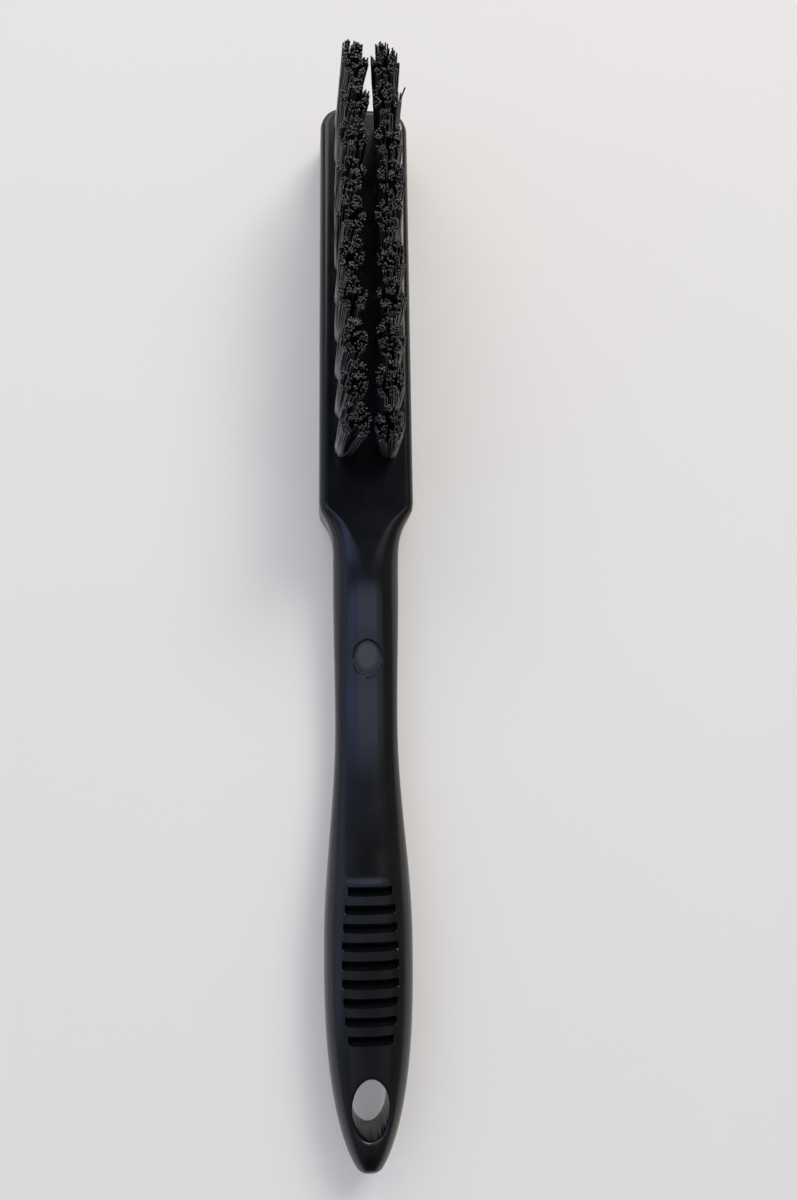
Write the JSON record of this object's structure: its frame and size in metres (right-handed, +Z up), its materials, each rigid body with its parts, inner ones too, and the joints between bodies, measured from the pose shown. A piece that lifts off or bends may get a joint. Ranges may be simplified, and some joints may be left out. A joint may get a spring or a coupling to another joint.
{
  "type": "anti-static brush",
  "caption": "Slim black hand brush with a flat head, rows of conductive bristle tufts that lean together, a waisted round neck, a thumb grip with cross grooves and a hanging hole in the tail.",
  "frame": {"origin": "on the surface that the brush lies on, back down, under the middle of its overall length and width", "axes": "+Z up out of the bristle face, +Y along the brush from the tail to the end of the head, +X across it to the right"},
  "size_m": [0.02, 0.225, 0.0314],
  "materials": {
    "handle_plastic": "satin moulded",
    "bristle_nylon": "satin extruded filament",
    "anchor_steel": "drawn flat wire"
  },
  "bodies": {
    "root": {"handle_body": "handle_plastic", "bristle_row_left": "bristle_nylon", "bristle_row_right": "bristle_nylon", "tuft_root_left_1": "bristle_nylon", "tuft_root_left_2": "bristle_nylon", "tuft_root_left_3": "bristle_nylon", "tuft_root_left_4": "bristle_nylon", "tuft_root_left_5": "bristle_nylon", "tuft_root_left_6": "bristle_nylon", "tuft_root_left_7": "bristle_nylon", "tuft_root_left_8": "bristle_nylon", "tuft_root_left_9": "bristle_nylon", "tuft_root_left_10": "bristle_nylon", "tuft_root_right_1": "bristle_nylon", "tuft_root_right_2": "bristle_nylon", "tuft_root_right_3": "bristle_nylon", "tuft_root_right_4": "bristle_nylon", "tuft_root_right_5": "bristle_nylon", "tuft_root_right_6": "bristle_nylon", "tuft_root_right_7": "bristle_nylon", "tuft_root_right_8": "bristle_nylon", "tuft_root_right_9": "bristle_nylon", "tuft_root_right_10": "bristle_nylon", "tuft_anchor_left_1": "anchor_steel", "tuft_anchor_left_2": "anchor_steel", "tuft_anchor_left_3": "anchor_steel", "tuft_anchor_left_4": "anchor_steel", "tuft_anchor_left_5": "anchor_steel", "tuft_anchor_left_6": "anchor_steel", "tuft_anchor_left_7": "anchor_steel", "tuft_anchor_left_8": "anchor_steel", "tuft_anchor_left_9": "anchor_steel", "tuft_anchor_left_10": "anchor_steel", "tuft_anchor_right_1": "anchor_steel", "tuft_anchor_right_2": "anchor_steel", "tuft_anchor_right_3": "anchor_steel", "tuft_anchor_right_4": "anchor_steel", "tuft_anchor_right_5": "anchor_steel", "tuft_anchor_right_6": "anchor_steel", "tuft_anchor_right_7": "anchor_steel", "tuft_anchor_right_8": "anchor_steel", "tuft_anchor_right_9": "anchor_steel", "tuft_anchor_right_10": "anchor_steel"}
  },
  "joints": []
}
